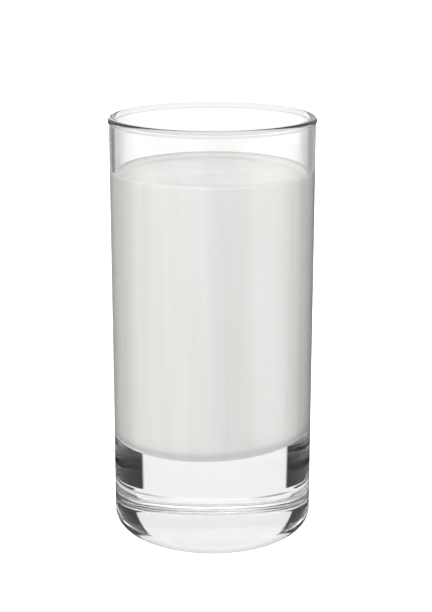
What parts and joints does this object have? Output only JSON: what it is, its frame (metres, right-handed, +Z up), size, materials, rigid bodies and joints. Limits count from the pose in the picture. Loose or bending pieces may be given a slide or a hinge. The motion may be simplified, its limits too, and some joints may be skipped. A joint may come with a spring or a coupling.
{
  "type": "glass of milk",
  "caption": "Straight round drinking glass with a thick clear base and a beaded rim, filled with milk to a little under the rim.",
  "frame": {"origin": "middle of the ring that the glass stands on, at table height", "axes": "+Z up along the axis of the glass, +X towards the side where the inner floor is highest"},
  "size_m": [0.0626, 0.0626, 0.1298],
  "materials": {
    "glass": "clear, fire-polished",
    "milk": "opaque liquid, softly glossy on top"
  },
  "bodies": {
    "root": {"glass": "glass", "milk": "milk"}
  },
  "joints": []
}
